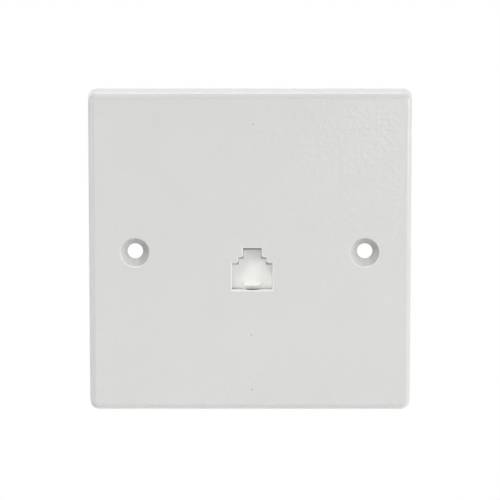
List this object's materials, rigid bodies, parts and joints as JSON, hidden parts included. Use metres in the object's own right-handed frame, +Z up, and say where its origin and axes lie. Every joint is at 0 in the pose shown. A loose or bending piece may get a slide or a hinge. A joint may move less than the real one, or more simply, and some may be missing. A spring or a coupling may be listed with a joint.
{
  "type": "telephone wall socket",
  "caption": "Square one-gang wall plate with two countersunk fixing holes and a shuttered modular telephone jack, with its board and push-in terminals behind.",
  "frame": {"origin": "middle of the plate's lower rim, in the wall plane", "axes": "+X to the right seen from the room, +Y into the wall, +Z up"},
  "size_m": [0.085, 0.027, 0.085],
  "materials": {
    "plate_plastic": "moulded, glossy, fine orange peel",
    "shutter_plastic": "moulded, satin",
    "spring_steel": "bright wire",
    "cover_plastic": "moulded, satin",
    "jack_plastic": "moulded, satin",
    "comb_plastic": "moulded, satin",
    "board_laminate": "solder mask, satin",
    "block_plastic": "moulded, satin",
    "contact_gilt": "gold plated wire",
    "blade_tin": "tinned sheet",
    "screw_zinc": "zinc plated"
  },
  "bodies": {
    "socket": {"front_plate": "plate_plastic", "shutter_spring": "spring_steel", "shutter_cover": "cover_plastic", "jack_body": "jack_plastic", "contact_insert": "comb_plastic", "circuit_board": "board_laminate", "idc_block": "block_plastic", "contact_1": "contact_gilt", "contact_2": "contact_gilt", "contact_3": "contact_gilt", "contact_4": "contact_gilt", "contact_5": "contact_gilt", "contact_6": "contact_gilt", "idc_blade_1": "blade_tin", "idc_blade_2": "blade_tin", "idc_blade_3": "blade_tin", "idc_blade_4": "blade_tin", "idc_blade_5": "blade_tin", "idc_blade_6": "blade_tin", "cover_screw_left": "screw_zinc", "cover_screw_right": "screw_zinc", "board_screw_left": "screw_zinc", "board_screw_right": "screw_zinc"},
    "shutter": {"shutter": "shutter_plastic"}
  },
  "joints": [
    {"name": "shutter_slide", "type": "slide", "parent": "socket", "child": "shutter", "axis": [0, 0, 1], "range_m": [0, 0.0093], "stiffness_N_per_m": 20, "springref_m": -0.005, "deforming": ["shutter_spring"]}
  ]
}
